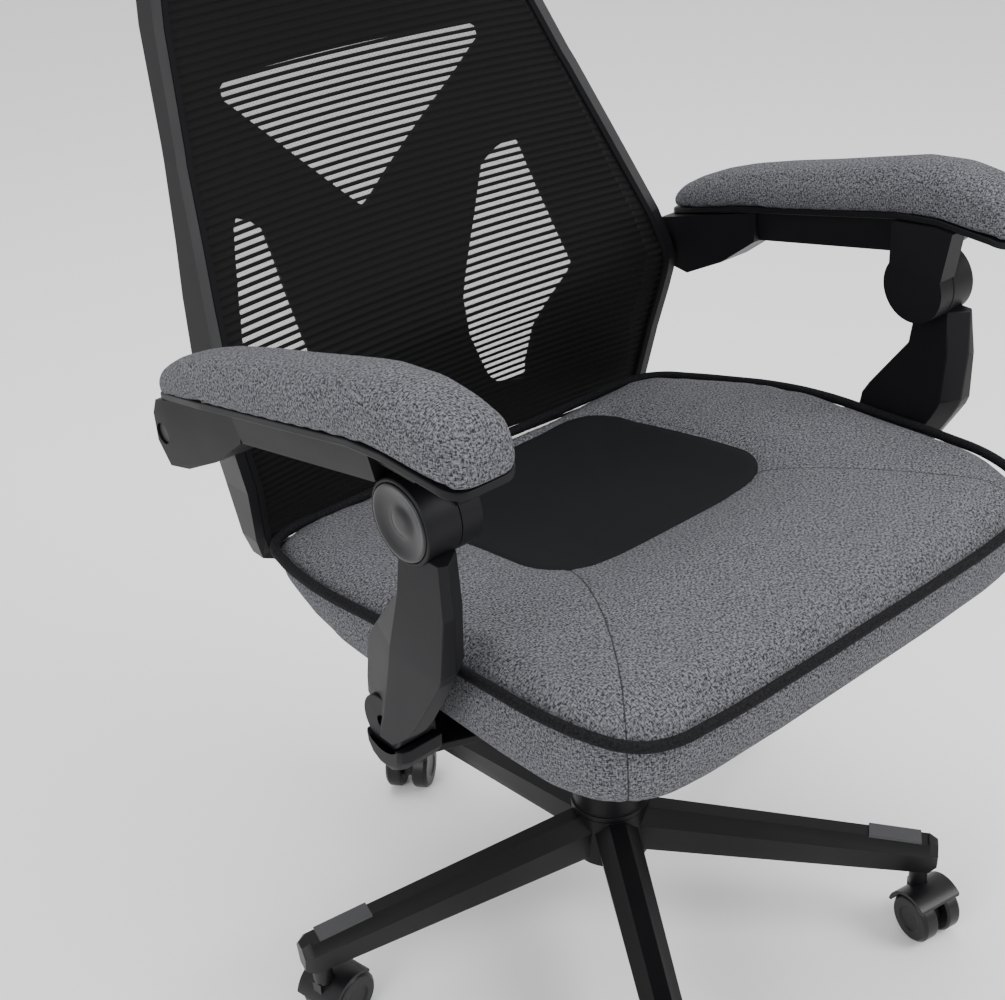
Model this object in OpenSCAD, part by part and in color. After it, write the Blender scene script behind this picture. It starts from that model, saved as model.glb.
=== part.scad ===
// Mesh-back gaming chair on a five-leg caster base, with armrests that follow the recline.
// Millimetres. +Z is up, the sitter faces -Y, the origin is on the floor under the base.

/* [Base] */
// Distance from the column to a caster's stem
leg_reach = 300; // [280:5:320]
// Turn of the base about the column
base_turn = 21.7; // [0:0.1:71]
// Height of the top of the base's hub
hub_top = 133; // [128:1:138]
// Height of the top of a leg at its end
leg_end_top = 106; // [102:1:110]

/* [Casters] */
// Radius of a caster's wheels
wheel_r = 25; // [24:0.5:26]
// Width of one wheel of a twin caster
wheel_w = 18; // [16:1:20]
// How far a wheel's axle trails its stem
trail = 16; // [12:1:18]

/* [Column] */
// Radius of the gas spring's outer tube
tube_r = 25; // [24:0.5:26]
// Radius of the piston rod
rod_r = 14; // [13:0.5:15]

/* [Seat] */
// Half width of the seat at its side piping
seat_half = 257.5; // [255:0.5:258]
// Lowest point of the seat cushion
seat_low = 424; // [422:1:428]
// Radius of the piping
piping_r = 4.6; // [4:0.1:5.5]
// How far the seat's centre sinks below its bolsters
dish = 30; // [20:1:36]
// Half width of the smooth panel on the seat
panel_half = 131; // [120:1:140]

/* [Back] */
// Half width of the back at its widest corner
back_half = 252; // [248:1:253]
// Wall of the back's rim
rim_wall = 9; // [7:0.5:11]
// How far the mesh curves back between the rim's sides at its widest
mesh_sag = 20; // [10:1:22]
// Thickness of the rear shell
shell_t = 4; // [3:0.5:5]

/* [Arms] */
// Distance of an arm's middle from the chair's middle
arm_x = 282; // [280:1:284]
// Half width of an arm pad
pad_half = 33; // [30:1:35]
// Radius of the barrel at the arm's front pivot
barrel_r = 31; // [29:0.5:32]

/* [Headrest] */
// Half width of the headrest
head_half = 138; // [110:1:150]

/* [Hidden] */
SIDES = ["right", "left"];

$fn = 48;
plastic = [0.16, 0.16, 0.17];
steel = [0.55, 0.55, 0.58];
cloth_grey = [0.47, 0.47, 0.49];
cloth_black = [0.07, 0.07, 0.08];
fit = 0.05;        // radial clearance of a running fit
gap = 0.5;         // space between faces that pass each other
leg_count = 5;

// The arms' four pivots, in Y and Z. With the recline hinge they make a parallelogram,
// so an arm keeps its slope while the back reclines.
arm_rear = [180, 577];
arm_front = [-130.5, 625.4];
post_foot = [-85, 437];
recline = arm_rear + post_foot - arm_front;
pivot_r = 6;
barrel_pin_r = 8;

// ---- shared shapes -------------------------------------------------------------------

function middle(ring) = [for (p = ring) 1] * ring / len(ring);

// The closed skin of a stack of equal rings, capped by fans at both ends.
module loft(rings) {
    n = len(rings[0]);
    m = len(rings);
    points = concat([for (ring = rings) for (p = ring) p],
        [middle(rings[0]), middle(rings[m - 1])]);
    walls = [for (k = [0:m - 2]) for (i = [0:n - 1])
        let (j = (i + 1) % n, a = k * n)
        each [[a + i, a + n + i, a + n + j], [a + i, a + n + j, a + j]]];
    last = (m - 1) * n;
    ends = [for (i = [0:n - 1]) let (j = (i + 1) % n)
        each [[i, j, m * n], [last + j, last + i, m * n + 1]]];
    polyhedron(points, concat(walls, ends), convexity = 6);
}

// The closed skin of rings joined end to end.
module ring_loft(rings) {
    n = len(rings[0]);
    m = len(rings);
    points = [for (ring = rings) for (p = ring) p];
    walls = [for (k = [0:m - 1]) for (i = [0:n - 1])
        let (j = (i + 1) % n, a = k * n, b = ((k + 1) % m) * n)
        each [[a + i, b + i, b + j], [a + i, b + j, a + j]]];
    polyhedron(points, walls, convexity = 6);
}

// A slab between two grids of points: front[row][column] and back[row][column].
module slab(front, back) {
    rows = len(front);
    cols = len(front[0]);
    half = rows * cols;
    points = concat([for (r = front) for (p = r) p], [for (r = back) for (p = r) p]);
    function at(r, c) = r * cols + c;
    faces_front = [for (r = [0:rows - 2]) for (c = [0:cols - 2])
        each [[at(r, c), at(r + 1, c), at(r + 1, c + 1)],
              [at(r, c), at(r + 1, c + 1), at(r, c + 1)]]];
    faces_back = [for (f = faces_front) [f[2] + half, f[1] + half, f[0] + half]];
    edge = concat([for (c = [0:cols - 1]) at(0, c)],
        [for (r = [1:rows - 1]) at(r, cols - 1)],
        [for (c = [cols - 2:-1:0]) at(rows - 1, c)],
        [for (r = [rows - 2:-1:1]) at(r, 0)]);
    count = len(edge);
    walls = [for (i = [0:count - 1])
        let (a = edge[i], b = edge[(i + 1) % count])
        each [[a, b, b + half], [a, b + half, a + half]]];
    polyhedron(points, concat(faces_front, faces_back, walls), convexity = 8);
}

// A bar along X between two distances from the middle, on one side of the chair.
module across(from, to) {
    translate([from, 0, 0]) rotate([90, 0, 90]) linear_extrude(to - from) children();
}

// A cylinder along X about a pivot given in Y and Z.
module pivot(at, r, from, to) {
    translate([from, at[0], at[1]]) rotate([0, 90, 0]) cylinder(r = r, h = to - from);
}

// Right is the sitter's right, at -X; shapes are drawn at +X and mirrored for it.
module on_side(side) {
    mirror([side == "right" ? 1 : 0, 0, 0]) children();
}

module at_leg(i, reach) {
    rotate(base_turn + 72 * (i - 1)) translate([reach, 0, 0]) children();
}

// ---- base ----------------------------------------------------------------------------

hub_r = 37.4;
hub_low = 78;
leg_root = 20;
stem_r = 5.5;
stem_top = 98;

// A leg's section: flat top band, sloping shoulders, deep sides.
module leg_section(top, band, shoulder, drop, depth) {
    rotate([90, 0, 90]) linear_extrude(0.5)
        polygon([[-band, top], [band, top], [shoulder, top - drop],
            [shoulder - 5, top - depth], [5 - shoulder, top - depth], [-shoulder, top - drop]]);
}

module leg_blank() {
    hull() {
        translate([leg_root, 0, 0]) leg_section(hub_top - 0.7, 8, 21, 14, 48);
        translate([leg_reach + 8, 0, 0]) leg_section(leg_end_top, 7, 17, 10, 34);
        translate([leg_reach + 16, 0, 0]) leg_section(leg_end_top - 5, 5, 12, 8, 26);
    }
}

module base_star() {
    color(plastic) difference() {
        union() {
            for (i = [1:leg_count]) at_leg(i, 0) leg_blank();
            translate([0, 0, hub_low]) cylinder(r = hub_r, h = hub_top - hub_low);
        }
        translate([0, 0, 60]) cylinder(r = tube_r, h = 90);
        for (i = [1:leg_count]) at_leg(i, leg_reach)
            translate([0, 0, 50]) cylinder(r = stem_r + fit, h = stem_top - 50);
        for (i = [1:leg_count]) at_leg(i, 0) grip_blank(1);
    }
}

// The recess for a leg's grip, and the grip itself when grow is 0.
module grip_blank(grow) {
    translate([leg_reach - 62, 0, 0]) rotate([0, 6, 0])
        translate([0, -8 - grow, leg_end_top + 4.5])
            cube([58, 16 + 2 * grow, grow < 1 ? 3.4 : 4]);
}

module foot_pads() {
    color([0.3, 0.3, 0.31]) for (i = [1:leg_count]) at_leg(i, 0)
        intersection() {
            grip_blank(0.6);
            translate([leg_reach - 66, -40, 60]) cube([66, 80, 60]);
        }
}

module gas_tube() {
    color(plastic) difference() {
        translate([0, 0, 66]) cylinder(r = tube_r, h = 214);
        translate([0, 0, 72]) cylinder(r = rod_r + fit, h = 220);
    }
}

// One sleeve of the telescoping cover, with a lip at its foot.
module sleeve(r, low, high, wall, lip) {
    difference() {
        union() {
            translate([0, 0, low]) cylinder(r = r, h = high - low);
            translate([0, 0, low]) cylinder(r = r + lip, h = 5);
        }
        translate([0, 0, low - 1]) cylinder(r = r - wall, h = high - low + 2);
    }
}

module cover_lower() {
    color(plastic) sleeve(36, hub_top + 1, 226, 1.6, 2);
}

module cover_middle() {
    color(plastic) sleeve(33, 196, 298, 1.6, 0.6);
}

cover_top = 352;

module cover_upper() {
    color(plastic) difference() {
        union() {
            sleeve(30, 262, cover_top, 1.6, 0.6);
            translate([0, 0, cover_top - 4]) cylinder(r = 30, h = 4);
        }
        translate([0, 0, cover_top - 5]) cylinder(r = rod_r, h = 6);
    }
}

module piston_rod() {
    color(steel) translate([0, 0, 126]) cylinder(r = rod_r, h = 392 - 126);
}

// ---- casters -------------------------------------------------------------------------

// How each caster happens to stand, turned about its own stem.
caster_turn = [150, 125, 205, 80, 310];
axle_r = 4;
neck_top = 70;
neck_low = 51;      // just above the wheels, which the stem swings over
hub_gap = 5;
wheel_in = hub_gap + 1;
axle_half = wheel_in + wheel_w - 5.5;

module at_caster(i) {
    at_leg(i, leg_reach) rotate(caster_turn[i - 1]) children();
}

module caster_hood(i) {
    color(plastic) at_caster(i) difference() {
        union() {
            translate([0, 0, neck_low]) cylinder(r = 9, h = neck_top - neck_low);
            // the web between the wheels and the round hood over them
            translate([trail, hub_gap, wheel_r]) rotate([90, 0, 0])
                cylinder(r = 13, h = 2 * hub_gap);
            translate([-9, -hub_gap, 32]) cube([trail + 13, 2 * hub_gap, neck_low - 31]);
            intersection() {
                translate([trail, wheel_in + wheel_w, wheel_r]) rotate([90, 0, 0])
                    difference() {
                        cylinder(r = wheel_r + 4.5, h = 2 * (wheel_in + wheel_w));
                        translate([0, 0, -1]) cylinder(r = wheel_r + 1.5, h = 80);
                    }
                translate([-16, -40, wheel_r + 6]) cube([trail + 34, 80, 40]);
            }
        }
        translate([trail, 20, wheel_r]) rotate([90, 0, 0]) cylinder(r = axle_r, h = 40);
        translate([0, 0, neck_low + 2]) cylinder(r = stem_r, h = 40);
    }
}

module caster_pins(i) {
    color(steel) at_caster(i) {
        translate([0, 0, neck_low + 2]) cylinder(r = stem_r, h = stem_top - neck_low - 4);
        translate([trail, axle_half, wheel_r]) rotate([90, 0, 0])
            cylinder(r = axle_r, h = 2 * axle_half);
    }
}

module caster_wheels(i) {
    color([0.1, 0.1, 0.11]) at_caster(i) for (s = [0, 1]) mirror([0, s, 0])
        translate([trail, wheel_in, wheel_r]) rotate([-90, 0, 0]) difference() {
            rotate_extrude() polygon([[0, 0], [wheel_r - 2, 0], [wheel_r, 2],
                [wheel_r, wheel_w - 4], [wheel_r - 3, wheel_w - 1], [14, wheel_w - 1],
                [12, wheel_w - 2.5], [0, wheel_w - 2.5]]);
            translate([0, 0, -1]) cylinder(r = axle_r + fit, h = wheel_w - 4);
        }
}

// ---- under the seat ------------------------------------------------------------------

housing_top = 402;
board_low = 408;

module tilt_housing() {
    color(steel) difference() {
        union() {
            translate([-62, -120, 362]) cube([124, 250, housing_top - 362]);
            translate([0, 0, 354]) cylinder(r = 28, h = 10);
            translate([0, -150, 378]) rotate([90, 0, 0]) cylinder(r = 13, h = 6);
            translate([-20, -151, 370]) cube([40, 32, 26]);
        }
        translate([0, 0, 350]) cylinder(r = rod_r + fit, h = 43);
        translate([0, -120, 378]) rotate([90, 0, 0]) cylinder(r = 5 + fit, h = 40);
        translate([55, 40, 385]) rotate([0, 90, 0]) cylinder(r = 5 + fit, h = 20);
    }
}

module seat_plate() {
    color(steel) difference() {
        translate([-125, -150, housing_top]) cube([250, 290, board_low - housing_top]);
        for (x = [-100, 100]) for (y = [-125, 115])
            translate([x, y, 390]) cylinder(r = 4, h = 30);
    }
}

module seat_board() {
    color([0.6, 0.5, 0.36]) difference() {
        translate([0, -50, board_low]) linear_extrude(seat_low - board_low)
            offset(r = 40) square([300, 290], center = true);
        for (x = [-100, 100]) for (y = [-125, 115])
            translate([x, y, 390]) cylinder(r = 4, h = 50);
    }
}

// Height of the piping along the seat, from its front to its rear.
edge_z = [[-300, 479], [-285, 483], [-255, 492], [-215, 495], [-130, 491], [-30, 484],
    [0, 480], [45, 472], [100, 461], [171, 449], [190, 446]];
function edge_height(y) = lookup(y, edge_z);

// Right half of the seat's plan at the piping, from the front's middle to the rear's.
seat_half_plan = [[0, -297], [90, -297], [165, -295], [205, -290], [229, -277], [245, -257],
    [255, -225], [seat_half, -170], [seat_half, -100], [seat_half, -30], [256, 30],
    [249, 80], [239, 125], [226, 160], [205, 175], [150, 178], [80, 178], [0, 178]];

// The whole plan from its right half, counter-clockwise.
function whole_plan(half) = concat(half, [for (i = [len(half) - 2:-1:1]) [-half[i][0], half[i][1]]]);
seat_plan = whole_plan(seat_half_plan);
seat_mid = [0, -40];
nose_lift = 3;     // how much higher the side's lower edge is at the front

// Height of the seat's top: bolsters round a sunken centre.
function seat_top(x, y) =
    edge_height(y) + 12 - 1.5 * piping_r
    - dish * exp(-pow(x / 135, 4) - pow((y - 30) / 150, 4));

function ring_at(plan, s, z) = [for (p = plan)
    [seat_mid[0] + (p[0] - seat_mid[0]) * s, seat_mid[1] + (p[1] - seat_mid[1]) * s, z]];
function top_ring(plan, s, lift) = [for (p = ring_at(plan, s, 0))
    [p[0], p[1], seat_top(p[0], p[1]) + lift]];

module seat_cushion() {
    color(cloth_grey) loft(concat(
        [ring_at(seat_plan, 0.955, seat_low)],
        [[for (p = ring_at(seat_plan, 0.985, 0))
            [p[0], p[1], seat_low + 5 + nose_lift * max(0, -p[1] / 297)]]],
        [[for (p = seat_plan) [p[0], p[1], seat_low + 20]]],
        [[for (p = seat_plan) [p[0], p[1], edge_height(p[1]) - 18]]],
        [[for (p = ring_at(seat_plan, 0.985, 0)) [p[0], p[1], edge_height(p[1]) - piping_r]]],
        [for (s = [0.94, 0.84, 0.72, 0.6, 0.48, 0.36, 0.24, 0.12]) top_ring(seat_plan, s, 0)],
        [[for (p = top_ring(seat_plan, 0.02, 0)) p]]));
}

panel_half_plan = [[0, -88], [70, -87], [102, -81], [122, -66], [panel_half, -40],
    [panel_half, 20], [panel_half, 80], [panel_half, 130], [126, 150], [112, 158],
    [60, 160], [0, 160]];
panel_mid = [0, 30];

module seat_panel() {
    plan = whole_plan(panel_half_plan);
    scales = [1, 0.8, 0.6, 0.4, 0.2, 0.02];
    function ring(s, lift) = [for (p = plan)
        let (x = p[0] * s, y = panel_mid[1] + (p[1] - panel_mid[1]) * s)
        [x, y, seat_top(x, y) + lift]];
    color(cloth_black) loft(concat(
        [for (k = [len(scales) - 1:-1:0]) ring(scales[k], 2.2)],
        [for (s = scales) ring(s, 4.2)]));
}

// The piping: a round cord along the seat's edge.
module seat_piping() {
    sides = 8;
    count = len(seat_plan);
    color(cloth_black) ring_loft([for (i = [0:count - 1])
        let (p = seat_plan[i], a = seat_plan[(i + count - 1) % count],
            b = seat_plan[(i + 1) % count], d = (b - a) / norm(b - a), out = [d[1], -d[0]])
        [for (k = [0:sides - 1]) let (t = -k * 360 / sides)
            [p[0] + out[0] * piping_r * (cos(t) + 0.1), p[1] + out[1] * piping_r * (cos(t) + 0.1),
             edge_height(p[1]) + piping_r * sin(t)]]]);
}

// ---- recline hinge -------------------------------------------------------------------

bracket_in = 53;
bracket_t = 6;
plate_in = 62;      // the long plates lie against the housing

module hinge_brackets() {
    color(steel) for (s = [0, 1]) mirror([s, 0, 0]) difference() {
        union() {
            pivot(recline, 17, bracket_in, bracket_in + bracket_t);
            across(plate_in, plate_in + bracket_t)
                polygon([[56, 368], [recline[0], recline[1] - 15], [recline[0], recline[1] + 12],
                    [120, 401], [56, 401]]);
            pivot(recline, 17, bracket_in + bracket_t, plate_in + bracket_t);
        }
        pivot(recline, pivot_r, 0, 100);
    }
}

module hinge_pin() {
    color(steel) pivot(recline, pivot_r, -bracket_in - 18, bracket_in + 18);
}

module lift_lever() {
    color(plastic) union() {
        translate([56, 40, 385]) rotate([0, 90, 0]) cylinder(r = 5, h = 150);
        hull() {
            translate([200, 40, 385]) rotate([0, 90, 0]) cylinder(r = 7, h = 8, $fn = 32);
            translate([245, 36, 383]) scale([1, 1, 0.4]) sphere(r = 15, $fn = 32);
        }
    }
}

module recline_lever() {
    color(plastic) union() {
        pivot(recline, 11, bracket_in + 19, bracket_in + 31);
        difference() {
            pivot(recline, 9, bracket_in + 16, bracket_in + 22);
            pivot(recline, pivot_r + fit, bracket_in + 10, bracket_in + 18.5);
        }
        hull() {
            pivot(recline, 9, bracket_in + 22, bracket_in + 31, $fn = 32);
            translate([215, recline[0] + 4, recline[1] - 4]) scale([1, 1, 0.5])
                sphere(r = 13, $fn = 32);
        }
    }
}

module tension_knob() {
    color(plastic) translate([0, -157, 378]) rotate([90, 0, 0]) difference() {
        union() {
            cylinder(r = 24, h = 26);
            translate([0, 0, -22]) cylinder(r = 5, h = 24);
        }
        for (a = [0:45:315]) rotate(a) translate([28, 0, -1]) cylinder(r = 7, h = 40);
    }
}

// ---- arms on the seat ----------------------------------------------------------------

post_in = 265.5;
post_out = 300;
barrel_out = 292;
cap_r = 28.6;
foot_r = 17;
sweep_r = 26;      // room round the foot while the post leans back
ear_t = 5;

module arm_bracket(side) {
    color(plastic) on_side(side) difference() {
        union() {
            // plate under the seat board
            translate([150, post_foot[0] - 32, board_low - 8]) cube([110, 64, 8]);
            across(post_in - ear_t, post_in - gap)
                polygon([[-117, 396], [-53, 396], [-68, post_foot[1] + 12],
                    [-78, post_foot[1] + 17], [-92, post_foot[1] + 17],
                    [-102, post_foot[1] + 12]]);
            hull() {
                across(post_in - ear_t, post_out)
                    polygon([[-110, 402], [-60, 402], [-62, 424], [-110, 424]]);
                across(post_in - ear_t, post_out - 12)
                    polygon([[-98, 387], [-72, 387], [-62, 400], [-108, 400]]);
            }
        }
        pivot(post_foot, sweep_r, post_in - gap, post_out + 1);
        pivot(post_foot, pivot_r, post_in - 20, post_in + 1);
        for (y = [-20, 20])
            translate([175, post_foot[0] + y, 390]) cylinder(r = 3.5, h = 30);
    }
}

module arm_pin(side) {
    color(steel) on_side(side) pivot(post_foot, pivot_r, post_in - ear_t, post_out - 4);
}

// The post: a faceted blade that leans forward from its foot to the barrel.
module arm_post(side) {
    color(plastic) on_side(side) difference() {
        union() {
            hull() {
                across(post_in + 2, post_out - 12)
                    polygon([[-166, 600], [-107, 600], [-66, 508], [-150, 508]]);
                across(post_out - 6, post_out)
                    polygon([[-160, 604], [-128, 604], [-106, 506], [-146, 510]]);
            }
            hull() {
                across(post_in, post_out - 12)
                    polygon([[-150, 508], [-66, 508], [-61, 440], [-68, 421], [-100, 421]]);
                across(post_out - 6, post_out)
                    polygon([[-146, 510], [-106, 506], [-84, 421], [-93, 421]]);
            }
            pivot(post_foot, foot_r, post_in, post_out - 5);
            pivot(arm_front, barrel_r, post_in, barrel_out);
        }
        pivot(post_foot, pivot_r + fit, post_in - 1, post_out - 3.9);
        pivot(post_foot, 9, post_out - 4, post_out + 5);
        pivot(arm_front, barrel_pin_r + 1, post_in - 1, barrel_out - 4);
        pivot(arm_front, cap_r + gap, barrel_out, post_out + 1);
    }
}

// The dished round cap on the barrel.
module post_cap(side) {
    color(plastic) on_side(side) translate([barrel_out, arm_front[0], arm_front[1]])
        rotate([0, 90, 0]) rotate_extrude()
            polygon([[0, 0], [cap_r, 0], [cap_r, 2.5], [cap_r - 1, 3.5], [15, 1.6], [13, 1.8],
                [11.5, 3], [6, 3.6], [0, 3.6]]);
}

// Underside of the pad's plate along the arm, in Y and Z.
plate_line = [[190, 604], [171, 610], [86, 636], [-12, 658], [-109, 681], [-150, 686],
    [-203, 683], [-218, 679]];
plate_t = 6;

module arm_beam(side) {
    barrel_in = arm_x - 35;
    split = post_in - gap;
    color(plastic) on_side(side) {
        difference() {
            union() {
                hull() {
                    across(arm_x - 24, arm_x + 13)
                        polygon([[187, 604], [60, 641], [62, 612], [104, 580], [150, 556],
                            [187, 560]]);
                    across(arm_x + 14, arm_x + 15)
                        polygon([[190, 592], [166, 606], [157, 606], [147, 592], [176, 550],
                            [190, 568]]);
                }
                hull() {
                    across(arm_x - 20, arm_x + 17)
                        polygon([[62, 640], [62, 634], [-109, 674], [-109, 680], [-12, 657]]);
                    across(arm_x - 16, arm_x + 12)
                        polygon([[62, 612], [-9, 630], [-55, 647], [-109, 648], [-109, 660]]);
                }
                // the cheek inside the barrel, and the shelf under the pad over it
                across(barrel_in, split + 1.5)
                    polygon([[-105, 640], [-105, 679.5], [-150, 685.5], [-168, 684.5],
                        [-160, 640]]);
                across(split - 2, arm_x + 10)
                    polygon([[-100, 678.4], [-100, 663], [-150, 663], [-172, 684], [-150, 685],
                        [-104, 679]]);
                pivot(arm_front, barrel_r, barrel_in + 1, split + 1);
            }
            pivot(arm_front, barrel_r + 1.2, split, 320);
            pivot(arm_rear, pivot_r + fit, 200, 320);
            pivot(arm_rear, 8.8, arm_x + 9, 320);
        }
        pivot(arm_front, barrel_pin_r, split - 5, barrel_out - 5);
    }
}

module arm_plate(side) {
    ends = [190, -218];
    module outline(half) {
        hull() {
            translate([ends[0] - 14, 0]) circle(r = 14);
            translate([90, 0]) circle(r = half - 6);
            translate([-150, 0]) circle(r = half);
            translate([ends[1] + 18, half - 20]) circle(r = 18);
            translate([ends[1] + 18, 20 - half]) circle(r = 18);
        }
    }
    color(plastic) on_side(side) intersection() {
        translate([arm_x, 0, 500]) linear_extrude(300) rotate(90) mirror([0, 1]) outline(pad_half + 1.5);
        across(arm_x - 60, arm_x + 60)
            polygon(concat(plate_line, [for (i = [len(plate_line) - 1:-1:0])
                plate_line[i] + [0, plate_t]]));
    }
}

// The arm pad: a soft loaf that follows the plate and grows thicker to the front.
pad_stations = [[188, 4, 8], [180, 12, 16], [171, 16, 21], [150, 22, 26], [120, 26, 29],
    [86, 28.5, 31], [40, 31, 34], [-12, 32, 36], [-60, 33, 38], [-109, 33, 40], [-150, 33, 41],
    [-180, 32.5, 40.5], [-203, 30, 37], [-214, 24, 28], [-219, 14, 14]];

module arm_pad(side) {
    steps = 12;
    function base_z(y) = lookup(y, [for (i = [len(plate_line) - 1:-1:0]) plate_line[i]]) + plate_t;
    color(cloth_grey) on_side(side) loft([for (st = pad_stations)
        let (y = st[0], w = st[1], h = st[2], z = base_z(y))
        [for (k = [0:steps]) let (t = 180 * k / steps)
            [arm_x + w * cos(t), y, z + 0.3 + h * pow(sin(t), 0.55)]]]);
}

// ---- back ----------------------------------------------------------------------------

// Right half of the rim, bottom to top: half width, height, front edge's Y, depth.
rim_half = [[0, 408, 196, 14], [150, 409, 195, 14], [205, 413, 192, 14], [224, 424, 188, 16],
    [231, 446, 182, 22], [238, 500, 171, 34], [247, 540, 164, 33],
    [251, 560, 161, 34], [back_half, 572, 160, 35], [251, 586, 163, 36], [245, 620, 176, 37],
    [235.5, 660, 198, 33], [225.5, 700, 219.5, 27], [211.5, 757, 251, 20], [208, 768, 257, 21],
    [187, 850, 299, 24], [176, 890, 315, 24], [150, 965, 327, 22], [112, 1045, 337, 20],
    [96, 1058, 338, 20], [0, 1060, 338, 20]];
rim_loop = concat(rim_half, [for (i = [len(rim_half) - 2:-1:1])
    [-rim_half[i][0], rim_half[i][1], rim_half[i][2], rim_half[i][3]]]);

// The loop moved inwards by d in X and Z.
function inward(loop, d) = [for (i = [0:len(loop) - 1])
    let (n = len(loop), p = loop[i], a = loop[(i + n - 1) % n], b = loop[(i + 1) % n],
        u = unit([p[0] - a[0], p[1] - a[1]]), v = unit([b[0] - p[0], b[1] - p[1]]),
        bis = unit([-u[1], u[0]] + [-v[1], v[0]]), k = d / max(0.5, bis * [-u[1], u[0]]))
    [p[0] + bis[0] * k, p[1] + bis[1] * k, p[2], p[3]]];
function unit(v) = v / norm(v);

module back_rim() {
    inner = inward(rim_loop, rim_wall);
    color(plastic) union() {
        ring_loft([for (i = [0:len(rim_loop) - 1]) let (o = rim_loop[i], n = inner[i])
            [[o[0], o[2], o[1]], [o[0], o[2] + o[3], o[1]],
             [n[0], n[2] + n[3], n[1]], [n[0], n[2], n[1]]]]);
    }
}

rim_y = [for (i = [0:len(rim_half) - 1]) [rim_half[i][1], rim_half[i][2]]];
rim_depth = [for (i = [0:len(rim_half) - 1]) [rim_half[i][1], rim_half[i][3]]];
rim_width = [for (i = [2:len(rim_half) - 2]) [rim_half[i][1], rim_half[i][0]]];
function front_y(z) = lookup(z, rim_y);
function rear_y(z) = front_y(z) + lookup(z, rim_depth);
function half_width(z) = lookup(z, rim_width);

panel_heights = [430, 440, 450, 470, 500, 530, 555, 572, 590, 620, 660, 700, 757, 800, 850, 890,
    930, 965, 1005, 1038];
cols = 14;
// How much of the full sag the mesh has at each height.
sag_share = [[419, 0.7], [572, 1], [757, 1], [890, 0.4], [1046, 0.2]];

module back_mesh() {
    inset = rim_wall + 2.2;
    function mesh_y(x, z, w) =
        front_y(z) + 4.8 + mesh_sag * lookup(z, sag_share) * (1 - pow(x / w, 2));
    function grid(off) = [for (z = panel_heights) let (w = half_width(z) - inset)
        [for (c = [0:cols]) let (x = w * (2 * c / cols - 1)) [x, mesh_y(x, z, w) + off, z]]];
    color(cloth_black) slab(grid(0), grid(2.4));
}

// The dark welt that holds the mesh in the rim.
module mesh_binding() {
    outer = inward(rim_loop, rim_wall + 0.3);
    inner = inward(rim_loop, rim_wall + 5.5);
    color(cloth_black) ring_loft([for (i = [0:len(rim_loop) - 1])
        let (o = outer[i], n = inner[i])
        [[o[0], o[2] - 1, o[1]], [o[0], o[2] + 2, o[1]], [n[0], n[2] + 2, n[1]],
         [n[0], n[2] - 0.5, n[1]]]]);
}

// Middle line of the rear shell, in height and Y.
spine_y = [[419, 209], [430, 217], [450, 248], [470, 275], [500, 300], [560, 311], [850, 318],
    [900, 334], [1046, 352]];

module back_shell() {
    inset = rim_wall + 1.8;
    function shell_y(x, z, w) = let (s = pow(abs(x) / w, 2.1), mid = lookup(z, spine_y),
        side = rear_y(z) - shell_t - 1) mid + (side - mid) * s;
    function grid(off) = [for (z = panel_heights) let (w = half_width(z) - inset)
        [for (c = [0:cols]) let (x = w * (2 * c / cols - 1)) [x, shell_y(x, z, w) + off, z]]];
    side_window = [[121, 668], [136, 682], [152, 690], [157, 684], [187, 562], [184, 553],
        [126, 462], [118, 458], [94, 459], [89, 465], [89, 538]];
    top_window = [[0, 652], [6, 656], [136, 783], [136, 792], [128, 798], [-128, 798],
        [-136, 792], [-136, 783], [-6, 656]];
    color(plastic) difference() {
        slab(grid(0), grid(shell_t));
        for (s = [0, 1]) mirror([s, 0, 0])
            translate([0, 500, 0]) rotate([90, 0, 0]) linear_extrude(400) polygon(side_window);
        translate([0, 500, 0]) rotate([90, 0, 0]) linear_extrude(400) polygon(top_window);
    }
}

bar_half = 50;
bolt_spots = [[-32, 540], [32, 540], [-32, 610], [32, 610]];

// The bar that carries the back from the recline hinge.
module back_bar() {
    color(plastic) difference() {
        union() {
            pivot(recline, 16, -bar_half, bar_half);
            across(-bar_half, bar_half)
                polygon([[recline[0], recline[1] - 14], [262, 378], [300, 402], [322, 450],
                    [330, 520], [332, 632], [328, 640], [318, 640], [317, 560], [309, 500],
                    [292, 446], [278, 418], [262, 398], [recline[0], recline[1] + 14]]);
        }
        pivot(recline, pivot_r + fit, -100, 100);
        for (p = bolt_spots)
            translate([p[0], 400, p[1]]) rotate([90, 0, 0]) cylinder(r = 4, h = 200);
    }
}

module back_bolts() {
    color(steel) for (p = bolt_spots) translate([p[0], 0, p[1]]) rotate([90, 0, 0]) {
        translate([0, 0, -331]) cylinder(r = 3.9, h = 16);
        translate([0, 0, -335.6]) cylinder(r = 7, h = 3.4);
    }
}

module arm_stud(side) {
    color(steel) on_side(side) union() {
        pivot(arm_rear, 11, back_half - 10, 255);
        pivot(arm_rear, pivot_r, 250, arm_x + 8);
        pivot(arm_rear, 8, arm_x + 9.5, arm_x + 13);
        pivot(arm_rear, pivot_r, arm_x + 7, arm_x + 12);
    }
}

// ---- headrest ------------------------------------------------------------------------

head_y = 337;

stem_half = 30;
stem_y = 360;
stem_t = 6;

// The slot behind the shell that the headrest's stem slides in.
module headrest_guide() {
    color(plastic) difference() {
        across(-42, 42) polygon([[349, 985], [355.2, 1035], [372, 1035], [372, 990], [367, 985]]);
        translate([-stem_half - fit, stem_y - fit, 980])
            cube([2 * (stem_half + fit), stem_t + 2 * fit, 60]);
    }
}

module headrest_stem() {
    color(plastic) union() {
        translate([-stem_half, stem_y, 945]) cube([2 * stem_half, stem_t, 170]);
        translate([-stem_half, head_y - 2, 1100]) cube([2 * stem_half, stem_y + 2 - head_y, 15]);
    }
}

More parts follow.
